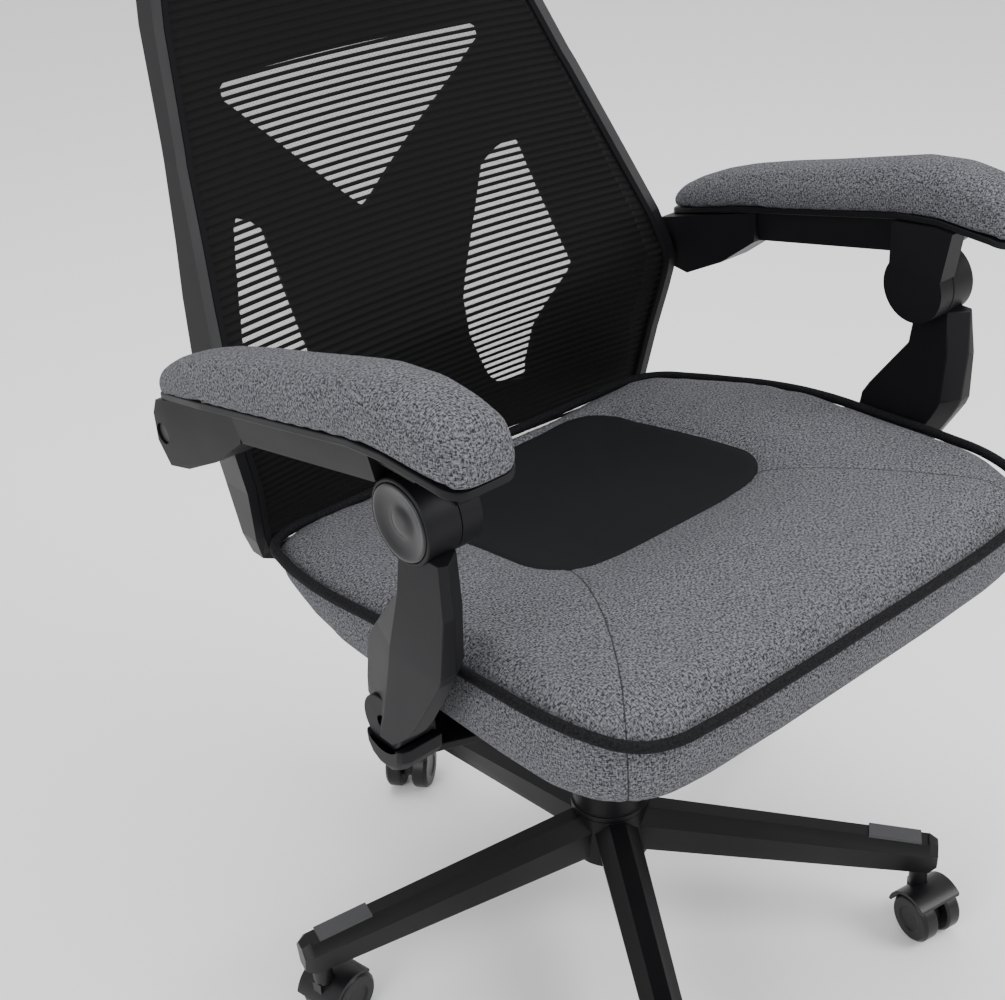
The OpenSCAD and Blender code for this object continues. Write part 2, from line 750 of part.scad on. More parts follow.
module headrest_shell() {
    color(plastic) translate([0, head_y - 2, 1128]) rotate([90, 0, 0]) linear_extrude(8)
        offset(r = 24) polygon([[-92, -34], [92, -34], [110, 0], [84, 30], [-84, 30], [-110, 0]]);
}

module headrest_pad() {
    color(cloth_grey) hull() for (sx = [-1, 1]) {
        translate([sx * (head_half - 22), head_y - 31, 1128]) sphere(r = 20, $fn = 24);
        translate([sx * 90, head_y - 33, 1092]) sphere(r = 22, $fn = 24);
        translate([sx * 84, head_y - 31, 1162]) sphere(r = 20, $fn = 24);
    }
}

// ---- assembly ------------------------------------------------------------------------

base_star();
foot_pads();
gas_tube();
cover_lower();
cover_middle();
cover_upper();
piston_rod();
for (i = [1:leg_count]) {
    caster_hood(i);
    caster_pins(i);
    caster_wheels(i);
}
tilt_housing();
seat_plate();
seat_board();
seat_cushion();
seat_panel();
seat_piping();
hinge_brackets();
hinge_pin();
lift_lever();
recline_lever();
tension_knob();
back_rim();
back_mesh();
back_shell();
back_bar();
back_bolts();
mesh_binding();
headrest_guide();
headrest_stem();
headrest_shell();
headrest_pad();
for (side = SIDES) {
    arm_bracket(side);
    arm_pin(side);
    arm_stud(side);
    arm_beam(side);
    arm_plate(side);
    arm_pad(side);
    arm_post(side);
    post_cap(side);
}
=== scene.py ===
import math

import bpy
import numpy as np
from mathutils import Matrix, Vector


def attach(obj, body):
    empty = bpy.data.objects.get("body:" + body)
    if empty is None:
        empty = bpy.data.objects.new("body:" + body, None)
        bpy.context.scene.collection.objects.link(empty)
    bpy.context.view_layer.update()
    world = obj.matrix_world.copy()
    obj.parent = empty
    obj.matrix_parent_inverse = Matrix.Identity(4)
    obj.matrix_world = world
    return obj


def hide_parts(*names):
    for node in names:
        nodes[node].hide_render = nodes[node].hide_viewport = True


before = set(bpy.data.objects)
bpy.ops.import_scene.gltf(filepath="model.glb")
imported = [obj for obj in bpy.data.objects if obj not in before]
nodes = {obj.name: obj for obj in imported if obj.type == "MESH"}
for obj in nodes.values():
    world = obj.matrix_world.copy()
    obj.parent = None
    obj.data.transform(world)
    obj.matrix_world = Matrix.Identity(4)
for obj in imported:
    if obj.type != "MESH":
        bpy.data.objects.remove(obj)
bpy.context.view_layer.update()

print("frame loaded")
scene = bpy.context.scene


def only(obj):
    if bpy.context.object and bpy.context.object.mode != "OBJECT":
        bpy.ops.object.mode_set(mode="OBJECT")
    bpy.ops.object.select_all(action="DESELECT")
    obj.hide_set(False)
    obj.select_set(True)
    bpy.context.view_layer.objects.active = obj


def copyOf(node, name):
    # a new piece that starts from a CAD node's shape
    mesh = nodes[node].data.copy()
    mesh.name = name
    piece = bpy.data.objects.new(name, mesh)
    scene.collection.objects.link(piece)
    mesh.materials.clear()
    only(piece)
    bpy.ops.object.mode_set(mode="EDIT")
    bpy.ops.mesh.select_all(action="SELECT")
    bpy.ops.mesh.remove_doubles(threshold=0.00002)
    bpy.ops.mesh.normals_make_consistent(inside=False)
    bpy.ops.object.mode_set(mode="OBJECT")
    if mesh.has_custom_normals:
        bpy.ops.mesh.customdata_custom_splitnormals_clear()
    return piece


def addModifier(obj, kind, **settings):
    only(obj)
    bpy.ops.object.modifier_add(type=kind)
    modifier = obj.modifiers[-1]
    for key, value in settings.items():
        setattr(modifier, key, value)
    return modifier


def applyModifier(obj, kind, **settings):
    modifier = addModifier(obj, kind, **settings)
    bpy.ops.object.modifier_apply(modifier=modifier.name)


def places(obj):
    flat = np.empty(len(obj.data.vertices) * 3)
    obj.data.vertices.foreach_get("co", flat)
    return flat.reshape(-1, 3)


def setPlaces(obj, co):
    obj.data.vertices.foreach_set("co", np.ascontiguousarray(co, float).ravel())
    obj.data.update()


def normalsOf(obj):
    flat = np.empty(len(obj.data.vertices) * 3)
    obj.data.vertex_normals.foreach_get("vector", flat)
    return flat.reshape(-1, 3)


def setAttribute(obj, name, values):
    old = obj.data.attributes.get(name)
    if old:
        obj.data.attributes.remove(old)
    attribute = obj.data.attributes.new(name, "FLOAT", "POINT")
    attribute.data.foreach_set("value", np.asarray(values, np.float32))


def stationPiece(name, rings):
    # a filled outline that is extruded from one station to the next, each with its own points
    bpy.ops.object.select_all(action="DESELECT")
    bpy.ops.mesh.primitive_circle_add(vertices=len(rings[0]), radius=1, fill_type="NGON")
    piece = bpy.context.object
    piece.name = piece.data.name = name
    for vertex, point in zip(piece.data.vertices, rings[0]):
        vertex.co = point
    last = np.arange(len(rings[0]))
    lift = Vector((0, 0, 7))
    for ring in rings[1:]:
        bpy.ops.object.mode_set(mode="EDIT")
        bpy.ops.mesh.extrude_region_move(TRANSFORM_OT_translate={"value": lift})
        bpy.ops.object.mode_set(mode="OBJECT")
        chosen = [v for v in piece.data.vertices if v.select]
        order = {}
        for k, index in enumerate(last):
            goal = piece.data.vertices[int(index)].co + lift
            order[k] = min(chosen, key=lambda v: (v.co - goal).length_squared)
        for k, vertex in order.items():
            vertex.co = ring[k]
        last = np.array([order[k].index for k in range(len(ring))])
    only(piece)
    bpy.ops.object.mode_set(mode="EDIT")
    bpy.ops.mesh.select_all(action="SELECT")
    bpy.ops.mesh.normals_make_consistent(inside=False)
    bpy.ops.object.mode_set(mode="OBJECT")
    return piece


def joined(pieces):
    bpy.ops.object.select_all(action="DESELECT")
    for p in pieces:
        p.select_set(True)
    bpy.context.view_layer.objects.active = pieces[0]
    bpy.ops.object.join()
    return pieces[0]


def eased(piece, radius, angle=28, segments=2):
    smooth(piece, 35)
    applyModifier(piece, "BEVEL", width=radius, segments=segments, limit_method="ANGLE",
                  angle_limit=math.radians(angle), harden_normals=True)
    return piece


def otherSide(piece, name):
    # the same piece for the sitter's left, with its own mesh
    twin = bpy.data.objects.new(name, piece.data.copy())
    twin.data.name = name
    scene.collection.objects.link(twin)
    only(twin)
    bpy.ops.object.mode_set(mode="EDIT")
    bpy.ops.mesh.select_all(action="SELECT")
    bpy.ops.transform.mirror(constraint_axis=(True, False, False), center_override=(0, 0, 0))
    bpy.ops.mesh.flip_normals()
    bpy.ops.object.mode_set(mode="OBJECT")
    return twin


def roundRing(x, centre, radius, count=48):
    # a circle across X about a pivot given in Y and Z
    return [(x, centre[0] + radius * math.cos(t), centre[1] + radius * math.sin(t))
            for t in (2 * math.pi * k / count for k in range(count))]


def boxUv(obj):
    # UVs in metres, so that the weave keeps its scale
    only(obj)
    bpy.ops.object.mode_set(mode="EDIT")
    bpy.ops.mesh.select_all(action="SELECT")
    bpy.ops.uv.cube_project(cube_size=1.0, correct_aspect=False)
    bpy.ops.object.mode_set(mode="OBJECT")


def smooth(obj, angle=40):
    only(obj)
    bpy.ops.object.shade_smooth_by_angle(angle=math.radians(angle))


def finishPiece(obj, material, body, replaced=()):
    obj.data.materials.clear()
    for m in material if isinstance(material, list) else [material]:
        obj.data.materials.append(m)
    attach(obj, body)
    if replaced:
        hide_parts(*replaced)
    return obj


def bell(distance, width):
    return np.exp(-(distance / width) ** 2)


def groupTree(name, inputs, outputs):
    group = bpy.data.node_groups.new(name, "ShaderNodeTree")
    for label, kind, default in inputs:
        item = group.interface.new_socket(label, in_out="INPUT", socket_type=kind)
        if default is not None:
            item.default_value = default
    for label, kind in outputs:
        group.interface.new_socket(label, in_out="OUTPUT", socket_type=kind)
    return group, group.nodes.new("NodeGroupInput"), group.nodes.new("NodeGroupOutput")


def add(tree, kind, inputs=(), **settings):
    node = tree.nodes.new(kind)
    for key, value in settings.items():
        setattr(node, key, value)
    for key, value in dict(inputs).items():
        if isinstance(value, bpy.types.NodeSocket):
            tree.links.new(value, node.inputs[key])
        else:
            node.inputs[key].default_value = value
    return node


def math2(tree, operation, a, b=0.0, clamp=False):
    return add(tree, "ShaderNodeMath", {0: a, 1: b}, operation=operation, use_clamp=clamp).outputs[0]


def mixColor(tree, factor, a, b):
    mix = add(tree, "ShaderNodeMix", {0: factor}, data_type="RGBA")
    for socket, value in ((mix.inputs[6], a), (mix.inputs[7], b)):
        if isinstance(value, bpy.types.NodeSocket):
            tree.links.new(value, socket)
        else:
            socket.default_value = (*value, 1)
    return mix.outputs[2]


def buildHeather():
    # threads that run both ways, some light and some dark
    color, value, vector = "NodeSocketColor", "NodeSocketFloat", "NodeSocketVector"
    group, given, made = groupTree("heatherWeave", [
        ("UV", vector, None), ("Light", color, (0.3, 0.3, 0.32, 1)),
        ("Dark", color, (0.08, 0.08, 0.09, 1)), ("Threads", value, 950.0),
        ("Contrast", value, 1.0)], [("Color", color), ("Height", value)])
    uv = given.outputs["UV"]
    streaks = []
    for along in ((0.4, 1.0, 1.0), (1.0, 0.4, 1.0)):
        size = add(group, "ShaderNodeVectorMath", {0: uv, 1: along}, operation="MULTIPLY").outputs[0]
        noise = add(group, "ShaderNodeTexNoise", {"Vector": size, "Scale": given.outputs["Threads"],
                                                  "Detail": 2.0, "Roughness": 0.6})
        streaks.append(noise.outputs["Fac"])
    broad = add(group, "ShaderNodeTexNoise", {"Vector": uv, "Scale": 55.0, "Detail": 3.0}).outputs["Fac"]
    sum2 = math2(group, "ADD", streaks[0], streaks[1])
    sum3 = math2(group, "ADD", sum2, math2(group, "MULTIPLY", broad, 0.08))
    spread = math2(group, "MULTIPLY", math2(group, "SUBTRACT", sum3, 1.04), 2.9)
    factor = math2(group, "ADD", math2(group, "MULTIPLY", spread, given.outputs["Contrast"]), 0.5, True)
    tone = mixColor(group, factor, given.outputs["Dark"], given.outputs["Light"])
    group.links.new(tone, made.inputs["Color"])
    group.links.new(math2(group, "SUBTRACT", streaks[0], streaks[1]), made.inputs["Height"])
    return group


def buildGrain():
    # the fine texture of a moulded part, with a faint rubbed look on its broad faces
    color, value = "NodeSocketColor", "NodeSocketFloat"
    group, given, made = groupTree("mouldedGrain", [
        ("Base", color, (0.02, 0.02, 0.02, 1)), ("Grain Size", value, 1400.0),
        ("Rough", value, 0.5)], [("Color", color), ("Roughness", value), ("Height", value)])
    where = add(group, "ShaderNodeTexCoord").outputs["Object"]
    fine = add(group, "ShaderNodeTexNoise", {"Vector": where, "Scale": given.outputs["Grain Size"],
                                             "Detail": 2.0}).outputs["Fac"]
    broad = add(group, "ShaderNodeTexNoise", {"Vector": where, "Scale": 14.0, "Detail": 4.0}).outputs["Fac"]
    lift = math2(group, "ADD", math2(group, "MULTIPLY", broad, 0.35), 0.82)
    bright = add(group, "ShaderNodeVectorMath", {0: given.outputs["Base"]}, operation="SCALE")
    group.links.new(lift, bright.inputs["Scale"])
    group.links.new(bright.outputs[0], made.inputs["Color"])
    varied = math2(group, "MULTIPLY", math2(group, "SUBTRACT", broad, 0.5), 0.16)
    group.links.new(math2(group, "ADD", given.outputs["Rough"], varied, True), made.inputs["Roughness"])
    group.links.new(fine, made.inputs["Height"])
    return group


heatherWeave = buildHeather()
mouldedGrain = buildGrain()


def newMaterial(name):
    material = bpy.data.materials.new(name)
    material.use_nodes = True
    return material, material.node_tree, material.node_tree.nodes["Principled BSDF"]


def bumpTo(tree, shader, height, distance, strength=1.0):
    bump = add(tree, "ShaderNodeBump", {"Height": height, "Distance": distance, "Strength": strength})
    tree.links.new(bump.outputs[0], shader.inputs["Normal"])


def plastic(name, base, rough, grain=1400.0, bump=0.00005, metallic=0.0, gloss=0.3):
    material, tree, shader = newMaterial(name)
    node = add(tree, "ShaderNodeGroup", node_tree=mouldedGrain)
    node.inputs["Base"].default_value = (*base, 1)
    node.inputs["Grain Size"].default_value = grain
    node.inputs["Rough"].default_value = rough
    tree.links.new(node.outputs["Color"], shader.inputs["Base Color"])
    tree.links.new(node.outputs["Roughness"], shader.inputs["Roughness"])
    shader.inputs["Metallic"].default_value = metallic
    shader.inputs["Specular IOR Level"].default_value = gloss
    bumpTo(tree, shader, node.outputs["Height"], bump)
    return material


def fabric(name, light, dark, threads=950.0, bump=0.0004, parts=False):
    material, tree, shader = newMaterial(name)
    uv = add(tree, "ShaderNodeTexCoord").outputs["UV"]
    node = add(tree, "ShaderNodeGroup", node_tree=heatherWeave)
    tree.links.new(uv, node.inputs["UV"])
    node.inputs["Light"].default_value = (*light, 1)
    node.inputs["Dark"].default_value = (*dark, 1)
    node.inputs["Threads"].default_value = threads
    color, height = node.outputs["Color"], node.outputs["Height"]
    shader.inputs["Roughness"].default_value = 0.92
    shader.inputs["Specular IOR Level"].default_value = 0.12
    if parts:
        color, height = sewn(tree, color, height)
    tree.links.new(color, shader.inputs["Base Color"])
    bumpTo(tree, shader, height, bump)
    return material


def sewn(tree, color, height):
    # the smooth panel inside its outline, and a thin dark line of painted shade along each seam's groove
    side = add(tree, "ShaderNodeAttribute", attribute_name="panelSide").outputs["Fac"]
    seam = add(tree, "ShaderNodeAttribute", attribute_name="seamSide").outputs["Fac"]
    onSeam = add(tree, "ShaderNodeAttribute", attribute_name="onSeam").outputs["Fac"]
    inside = math2(tree, "LESS_THAN", side, 0.0)
    knit = add(tree, "ShaderNodeTexNoise", {"Scale": 900.0, "Detail": 2.0,
                                           "Vector": add(tree, "ShaderNodeTexCoord").outputs["UV"]})
    black = mixColor(tree, knit.outputs["Fac"], (0.0055, 0.0062, 0.0072), (0.0085, 0.0095, 0.0108))
    both = mixColor(tree, inside, color, black)
    near = math2(tree, "LESS_THAN", math2(tree, "ABSOLUTE", seam), 0.0006)
    # painted shade, laid in a thin dark line along each seam's groove
    seamShade = math2(tree, "MULTIPLY", math2(tree, "MULTIPLY", near, onSeam), 0.75)
    dark = mixColor(tree, seamShade, both, (0.01, 0.01, 0.01))
    panelShare = math2(tree, "MULTIPLY", inside, 0.8)
    quiet = math2(tree, "MULTIPLY", height, math2(tree, "SUBTRACT", 1.0, panelShare))
    return dark, quiet


def ribbedMesh(name):
    # opaque ribs across, and a sheer net between them; V of the UVs runs up the back
    material, tree, shader = newMaterial(name)
    uv = add(tree, "ShaderNodeTexCoord").outputs["UV"]
    parts = add(tree, "ShaderNodeSeparateXYZ", {0: uv})
    phase = math2(tree, "FRACT", math2(tree, "DIVIDE", parts.outputs[1], backCloth["ribPitch"]))
    rib = math2(tree, "LESS_THAN", phase, backCloth["ribShare"])
    across = math2(tree, "FRACT", math2(tree, "MULTIPLY", parts.outputs[0], 700.0))
    up = math2(tree, "FRACT", math2(tree, "MULTIPLY", parts.outputs[1], 1000.0))
    net = math2(tree, "MAXIMUM", math2(tree, "LESS_THAN", across, 0.38), math2(tree, "LESS_THAN", up, 0.28))
    tree.links.new(math2(tree, "MAXIMUM", rib, net), shader.inputs["Alpha"])
    fuzz = add(tree, "ShaderNodeTexNoise", {"Vector": uv, "Scale": 1200.0}).outputs["Fac"]
    tone = mixColor(tree, rib, (0.009, 0.009, 0.0095), (0.003, 0.003, 0.0033))
    tree.links.new(tone, shader.inputs["Base Color"])
    shader.inputs["Roughness"].default_value = 0.8
    shader.inputs["Specular IOR Level"].default_value = 0.15
    bumpTo(tree, shader, fuzz, 0.0002)
    return material


backCloth = {"ribPitch": 0.007, "ribShare": 0.52, "ribDepth": 0.0006, "rowsPerRib": 6, "columns": 44}

greyFabric = fabric("greyFabric", (0.158, 0.158, 0.173), (0.014, 0.014, 0.018))
seatFabric = fabric("seatFabric", (0.158, 0.158, 0.173), (0.014, 0.014, 0.018), parts=True)
pipingCord = fabric("pipingCord", (0.012, 0.012, 0.014), (0.004, 0.004, 0.005), threads=900.0)
weltTape = fabric("weltTape", (0.008, 0.008, 0.009), (0.003, 0.003, 0.004), threads=900.0)
meshCloth = ribbedMesh("meshCloth")
armPlastic = plastic("armPlastic", (0.0062, 0.0062, 0.0074), 0.48, gloss=0.14)
capPlastic = plastic("capPlastic", (0.009, 0.009, 0.0105), 0.32, gloss=0.28)
rimPlastic = plastic("rimPlastic", (0.0075, 0.0075, 0.0088), 0.45, gloss=0.2)
shellPlastic = plastic("shellPlastic", (0.003, 0.003, 0.0035), 0.6, gloss=0.1)
basePlastic = plastic("basePlastic", (0.004, 0.004, 0.0048), 0.42, gloss=0.2)
wheelPlastic = plastic("wheelPlastic", (0.005, 0.005, 0.006), 0.38)
gripRubber = plastic("gripRubber", (0.06, 0.06, 0.065), 0.8, 700.0, 0.0004)
blackSteel = plastic("blackSteel", (0.012, 0.012, 0.012), 0.45, 900.0, 0.0001)
steel = plastic("steel", (0.45, 0.45, 0.47), 0.3, 300.0, 0.00002, 1.0)
coverCloth = plastic("coverCloth", (0.012, 0.012, 0.013), 0.9, 900.0, 0.0003)
print("materials made")


easedPieces = {
    # node: (edge radius, material, body, slot)
    "base_star": (0.0022, basePlastic, "base", "base_plastic"),
    "cover_lower": (0.0005, basePlastic, "base", "plastic"),
    "cover_middle": (0.0005, basePlastic, "cover", "plastic"),
    "cover_upper": (0.0005, basePlastic, "column", "plastic"),
    "tilt_housing": (0.003, blackSteel, "seat", "black_steel"),
    "seat_plate": (0.0008, blackSteel, "seat", "black_steel"),
    "hinge_brackets": (0.001, blackSteel, "seat", "black_steel"),
    "lift_lever": (0.001, basePlastic, "lift_lever", "plastic"),
    "recline_lever": (0.001, basePlastic, "recline_lever", "plastic"),
    "tension_knob": (0.0012, basePlastic, "tension_knob", "plastic"),
    "back_bar": (0.003, basePlastic, "back", "plastic"),
    "headrest_guide": (0.0015, basePlastic, "back", "plastic"),
    "headrest_stem": (0.001, basePlastic, "headrest", "plastic"),
    "headrest_shell": (0.002, shellPlastic, "headrest", "shell"),
}
plateFit = {"middleX": 0.282, "middleY": -0.014, "across": 0.92, "along": 0.985}
for side in ("right", "left"):
    easedPieces[f"arm_beam_{side}"] = (0.0012, armPlastic, f"arm_{side}", "arm_plastic")
    easedPieces[f"arm_plate_{side}"] = (0.0012, armPlastic, f"arm_{side}", "arm_plastic")
for i in range(1, 6):
    easedPieces[f"caster_hood_{i}"] = (0.0012, wheelPlastic, f"caster_{i}", "plastic")
    easedPieces[f"caster_wheels_{i}"] = (0.0008, wheelPlastic, f"wheels_{i}", "wheel")

for node, (radius, material, body, slot) in easedPieces.items():
    piece = copyOf(node, node.title().replace("_", ""))
    piece.name = piece.name[0].lower() + piece.name[1:]
    only(piece)
    bpy.ops.object.mode_set(mode="EDIT")
    bpy.ops.mesh.select_all(action="SELECT")
    bpy.ops.mesh.dissolve_limited(angle_limit=math.radians(1.5))
    bpy.ops.object.mode_set(mode="OBJECT")
    if node.startswith("arm_plate"):
        # the plate's rim stays within the pad's
        co = places(piece)
        middle = math.copysign(plateFit["middleX"], co[0, 0])
        co[:, 0] = middle + (co[:, 0] - middle) * plateFit["across"]
        co[:, 1] = plateFit["middleY"] + (co[:, 1] - plateFit["middleY"]) * plateFit["along"]
        setPlaces(piece, co)
    eased(piece, radius)
    finishPiece(piece, material, body, [node])

keptNodes = {"gas_tube": basePlastic, "piston_rod": steel, "hinge_pin": steel, "back_bolts": steel,
             "foot_pads": gripRubber, "seat_board": coverCloth, "back_shell": shellPlastic,
             "mesh_binding": weltTape, "back_rim": rimPlastic}
for side in ("right", "left"):
    keptNodes[f"arm_pin_{side}"] = blackSteel
    keptNodes[f"arm_stud_{side}"] = blackSteel
for i in range(1, 6):
    keptNodes[f"caster_pins_{i}"] = steel
for node, material in keptNodes.items():
    nodes[node].data.materials.clear()
    nodes[node].data.materials.append(material)
    smooth(nodes[node], 32)
print("hard pieces eased")


barrel = {"centre": (-0.1305, 0.6254), "radius": 0.0315, "outer": 0.2932, "inner": 0.2655,
          "capRadius": 0.0284}
armPost = {
    # height, then Y of the rear edge, of the outer face's two edges and of the front edge
    "stations": [(0.4230, -0.071, -0.081, -0.097, -0.100), (0.4320, -0.0635, -0.085, -0.108, -0.110),
                 (0.4450, -0.0545, -0.090, -0.121, -0.123), (0.4600, -0.0560, -0.094, -0.132, -0.134),
                 (0.4980, -0.0635, -0.104, -0.156, -0.157), (0.5100, -0.0710, -0.1065, -0.1635, -0.1635),
                 (0.5180, -0.0770, -0.1085, -0.1665, -0.1665), (0.5640, -0.1120, -0.1180, -0.1695, -0.170),
                 (0.6050, -0.1180, -0.1220, -0.1650, -0.168)],
    "rearX": 0.286, "outerX": 0.2975, "frontX": 0.2840, "innerX": 0.2680,
    "frontFacet": 0.012, "rearFacet": 0.004}


armFoot = {"pivot": (-0.085, 0.437), "discRadius": 0.0225, "cupTop": 0.4205,
           "cupSide": [(-0.0615, 0.4205), (-0.0625, 0.4090), (-0.0680, 0.4000), (-0.0780, 0.3945),
                       (-0.0920, 0.3945), (-0.1020, 0.4000), (-0.1075, 0.4090), (-0.1085, 0.4205)],
           "cupWidths": [(0.2605, 1.0), (0.2900, 1.0), (0.2960, 0.93), (0.2985, 0.78)],
           "barHeights": (0.4005, 0.4075),
           "barWidths": [(0.150, 0.032), (0.235, 0.030), (0.258, 0.020), (0.264, 0.018)],
           "ear": [(-0.102, 0.404), (-0.068, 0.404), (-0.070, 0.446), (-0.077, 0.451), (-0.093, 0.451),
                   (-0.100, 0.446)]}


def makePost():
    p = armPost
    rings = []
    for z, rear, outerA, outerB, front in p["stations"]:
        outer = float(np.interp(z, [0.52, 0.597], [p["outerX"], barrel["outer"] - 0.003]))
        rings.append([(-p["rearX"], rear, z), (-outer, outerA, z), (-outer, outerB, z),
                      (-p["frontX"], front, z), (-p["innerX"], front + p["frontFacet"], z),
                      (-p["innerX"], rear - p["rearFacet"], z)])
    blade = eased(stationPiece("armPostRight", rings), 0.0009, angle=8)
    b = barrel
    c, r, x = b["centre"], b["radius"], b["outer"]
    lip = 0.0008
    capSeat = b["capRadius"] + 0.0007
    profile = [(b["inner"], r - lip), (b["inner"] + lip, r), (x - lip, r), (x, r - lip),
               (x, capSeat), (x - 0.002, capSeat - 0.0002)]
    drum = stationPiece("drum", [roundRing(-out, c, radius) for out, radius in profile])
    smooth(drum, 35)
    foot = armFoot["pivot"]
    disc = stationPiece("disc", [roundRing(-x, foot, armFoot["discRadius"]) for x in (0.2665, 0.2960)])
    return joined([blade, drum, eased(disc, 0.0008)])


def makeCap():
    c, r, x = barrel["centre"], barrel["capRadius"], barrel["outer"]
    profile = [(-0.002, r), (0, r), (0.0008, r - 0.0003), (0.0012, r - 0.0012), (0.0010, r - 0.003),
               (-0.0002, 0.0225), (-0.0012, 0.0185), (-0.0017, 0.0150), (-0.0018, 0.0130),
               (-0.0014, 0.0112), (-0.0005, 0.0094), (0.0002, 0.0070), (0.0005, 0.0040)]
    rings = [roundRing(-x - out, c, radius) for out, radius in profile]
    cap = stationPiece("postCapRight", rings)
    smooth(cap, 50)
    return cap


def makeBracket():
    # a cup that hugs the foot's round end, an ear that holds its pin, and a bar under the seat
    py, pz = armFoot["pivot"]
    r = armFoot["discRadius"] + 0.001
    top = armFoot["cupTop"]
    reach = math.acos((pz - top) / r)
    trough = [(py + r * math.sin(t), pz - r * math.cos(t)) for t in np.linspace(-reach, reach, 13)]
    rings = []
    for x, share in armFoot["cupWidths"]:
        outside = [(py + (y - py) * share, top + (z - top) * share) for y, z in armFoot["cupSide"]]
        rings.append([(-x, y, z) for y, z in trough + outside])
    cup = eased(stationPiece("armBracketRight", rings), 0.0012, angle=20)
    ear = stationPiece("ear", [[(-x, y, z) for y, z in armFoot["ear"]] for x in (0.2605, 0.2650)])
    low, high = armFoot["barHeights"]
    corners = ((-1, low), (1, low), (1, high), (-1, high))
    bar = stationPiece("bar", [[(-x, py + way * half, z) for way, z in corners]
                               for x, half in armFoot["barWidths"]])
    return joined([cup, eased(ear, 0.0006), eased(bar, 0.0012)])


for make, name, body, node, material, slot in (
        (makePost, "armPost", "post", "arm_post", armPlastic, "arm_plastic"),
        (makeCap, "postCap", "post", "post_cap", capPlastic, "cap"),
        (makeBracket, "armBracket", "seat", "arm_bracket", armPlastic, "arm_plastic")):
    rightPiece = make()
    leftPiece = otherSide(rightPiece, name + "Left")
    for side, piece in (("right", rightPiece), ("left", leftPiece)):
        finishPiece(piece, material, body if body == "seat" else f"{body}_{side}", [f"{node}_{side}"])
print("posts, caps and brackets made")


cover = {"pressure": 4.0, "frames": 20, "tension": 15.0, "bending": 0.6, "mass": 0.3, "shrink": 0.0003}


def puff(obj, voxel, limit):
    # the cover is blown up over its foam, and each point then moves only along its normal
    applyModifier(obj, "REMESH", mode="VOXEL", voxel_size=voxel, adaptivity=0.0)
    start, outward = places(obj), normalsOf(obj)
    cloth = addModifier(obj, "CLOTH")
    s = cloth.settings
    s.quality = 5
    s.mass = cover["mass"]
    s.tension_stiffness = cover["tension"]
    s.compression_stiffness = cover["tension"]
    s.bending_stiffness = cover["bending"]
    s.use_pressure = True
    s.uniform_pressure_force = cover["pressure"]
    s.effector_weights.gravity = 0
    cloth.collision_settings.use_collision = False
    for f in range(1, cover["frames"] + 1):
        scene.frame_set(f)
    only(obj)
    bpy.ops.object.modifier_apply(modifier=cloth.name)
    scene.frame_set(1)
    moved = places(obj) - start
    swell = np.clip(np.sum(moved * outward, axis=1), -cover["shrink"], limit)
    setPlaces(obj, start + outward * swell[:, None])
    applyModifier(obj, "SMOOTH", factor=0.5, iterations=2)
    applyModifier(obj, "SUBSURF", levels=1, render_levels=1)


seatCushion = {"voxel": 0.006, "swell": 0.005, "groove": 0.0022, "panelHalf": (0.131, 0.124),
               "panelMiddle": (0.0, 0.036), "panelCorner": 0.045,
               "seamFrom": (0.108, -0.078), "seamVia": (0.142, -0.172), "seamTo": (0.226, -0.272)}


def panelDistance(x, y):
    # signed distance to the panel's rounded outline, negative inside
    hx, hy = seatCushion["panelHalf"]
    r = seatCushion["panelCorner"]
    qx = np.abs(x - seatCushion["panelMiddle"][0]) - hx + r
    qy = np.abs(y - seatCushion["panelMiddle"][1]) - hy + r
    outside = np.hypot(np.maximum(qx, 0), np.maximum(qy, 0))
    return outside + np.minimum(np.maximum(qx, qy), 0) - r


def seamDistance(x, y, path):
    # signed distance to the nearest point of a seam drawn in plan, and its place along it
    best = np.full(len(x), 9.0)
    along = np.zeros(len(x))
    for k in range(len(path) - 1):
        a, b = np.array(path[k]), np.array(path[k + 1])
        d = b - a
        length = np.hypot(*d)
        t = ((x - a[0]) * d[0] + (y - a[1]) * d[1]) / length ** 2
        clip = np.clip(t, 0 if k else -1, 1 if k < len(path) - 2 else 2)
        gap = np.hypot(x - a[0] - clip * d[0], y - a[1] - clip * d[1])
        sign = np.sign((x - a[0]) * d[1] - (y - a[1]) * d[0])
        closer = gap < np.abs(best)
        best = np.where(closer, gap * np.where(sign == 0, 1, sign), best)
        along = np.where(closer, (k + t) / (len(path) - 1), along)
    return best, along


def seatSeam():
    a, b, c = (np.array(seatCushion[k]) for k in ("seamFrom", "seamVia", "seamTo"))
    steps = np.linspace(0, 1, 9)
    return [(1 - t) ** 2 * a + 2 * t * (1 - t) * b + t * t * c for t in steps]


